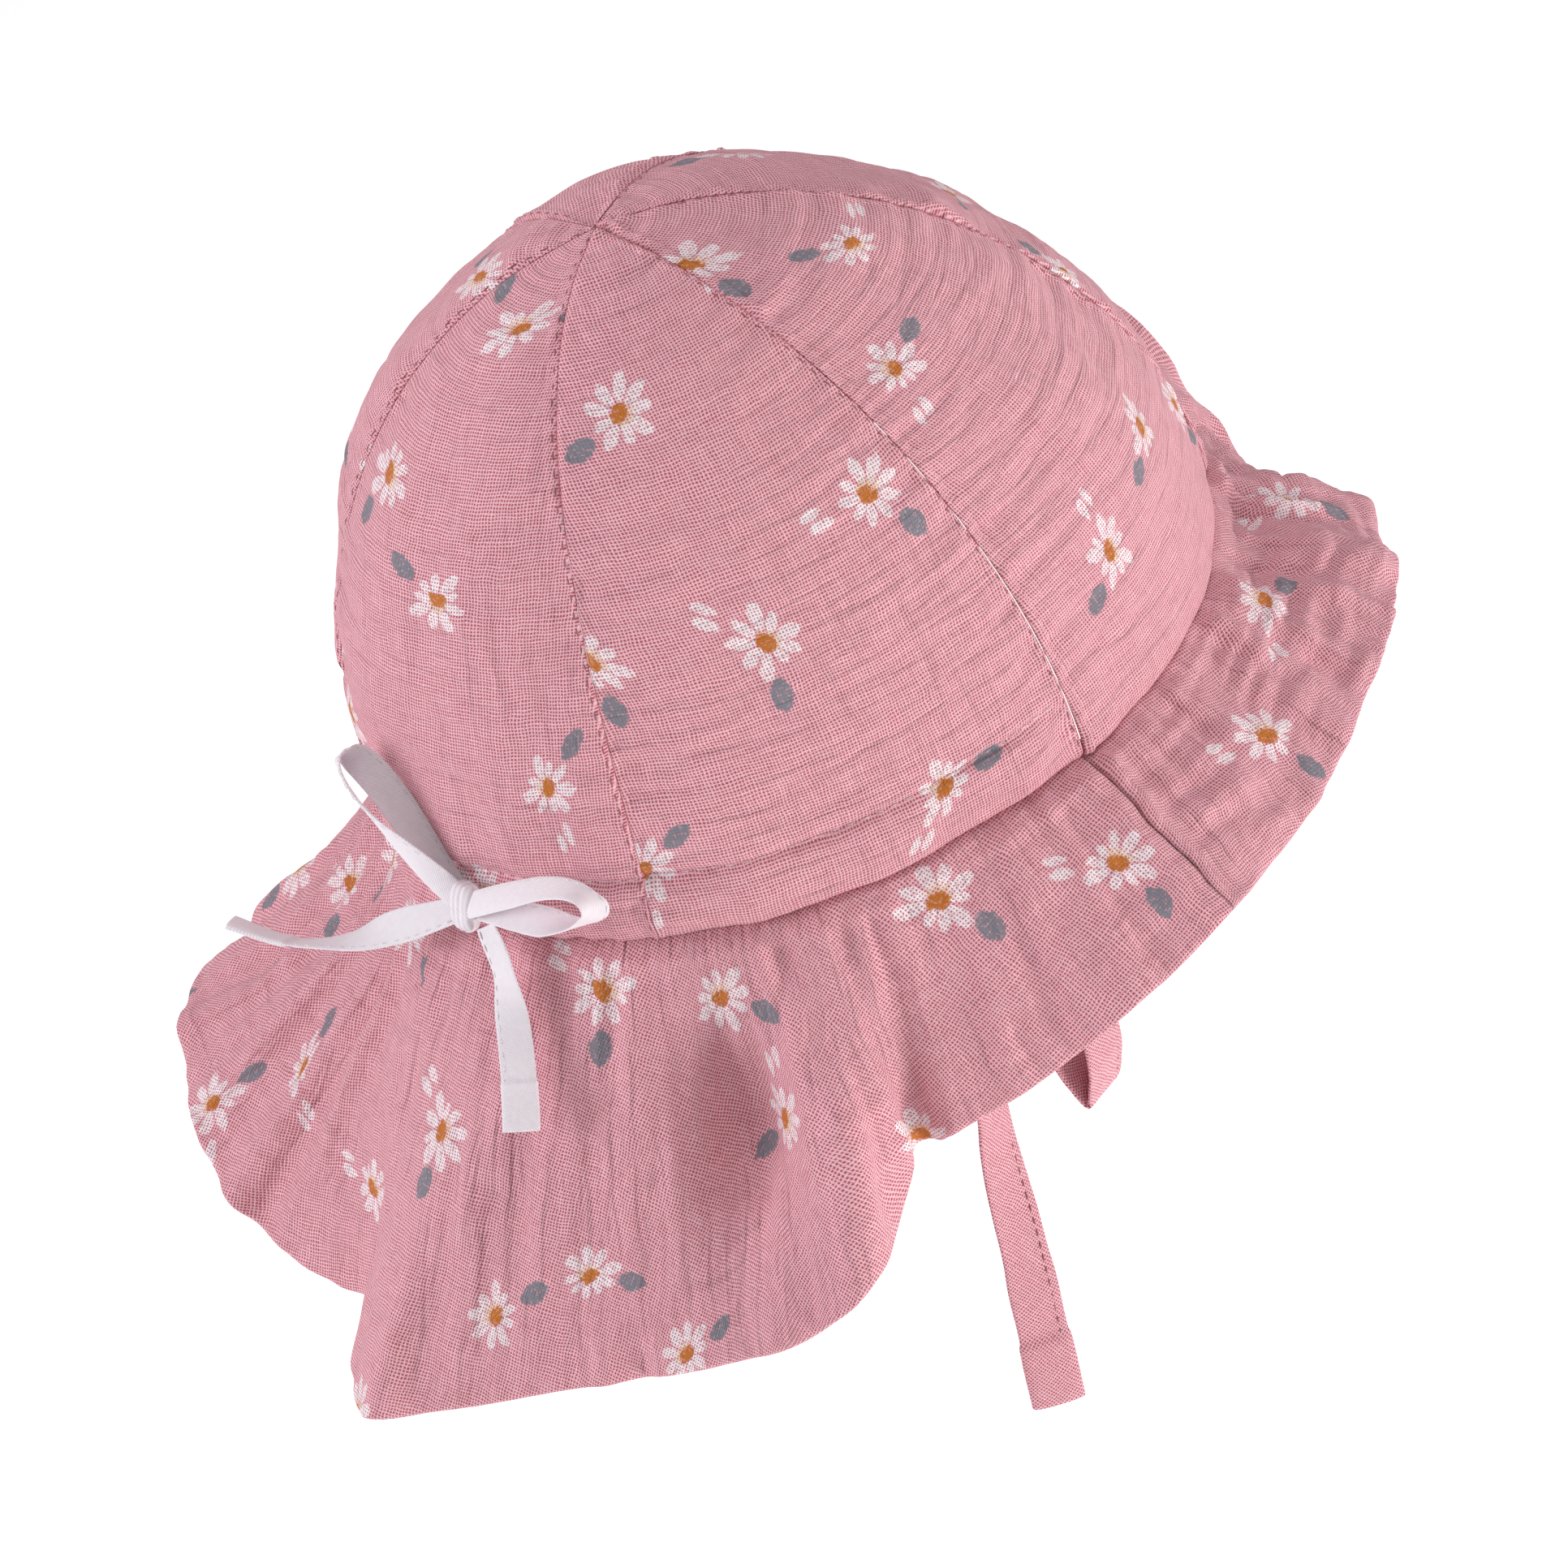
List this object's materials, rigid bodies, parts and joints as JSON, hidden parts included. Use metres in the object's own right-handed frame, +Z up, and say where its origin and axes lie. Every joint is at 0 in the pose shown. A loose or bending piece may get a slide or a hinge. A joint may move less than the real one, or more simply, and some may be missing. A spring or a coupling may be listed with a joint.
{
  "type": "baby's sun hat with neck flap, chin ties and a tape bow",
  "caption": "Soft panelled sun hat for a baby with a wavy brim, a long neck flap, chin ties and a white tape bow at the back, in its worn form.",
  "frame": {"origin": "centre of the head opening, level with the crown's lower edge", "axes": "+Z up through the crown, -Y to the wearer's front over the brim, +Y to the back over the neck flap, -X to the wearer's right"},
  "size_m": [0.1915, 0.2478, 0.2352],
  "materials": {
    "muslin_pink": "matte crinkled cotton muslin",
    "tape_white": "soft twill tape"
  },
  "bodies": {
    "root": {"crown_back": "muslin_pink", "crown_back_right": "muslin_pink", "crown_front_right": "muslin_pink", "crown_front": "muslin_pink", "crown_front_left": "muslin_pink", "crown_back_left": "muslin_pink", "brim_front": "muslin_pink", "neck_flap": "muslin_pink", "tie_right": "muslin_pink", "tie_left": "muslin_pink", "bow_knot": "tape_white", "bow_loop_right": "tape_white", "bow_loop_left": "tape_white", "bow_tail_right": "tape_white", "bow_tail_left": "tape_white"}
  },
  "joints": []
}
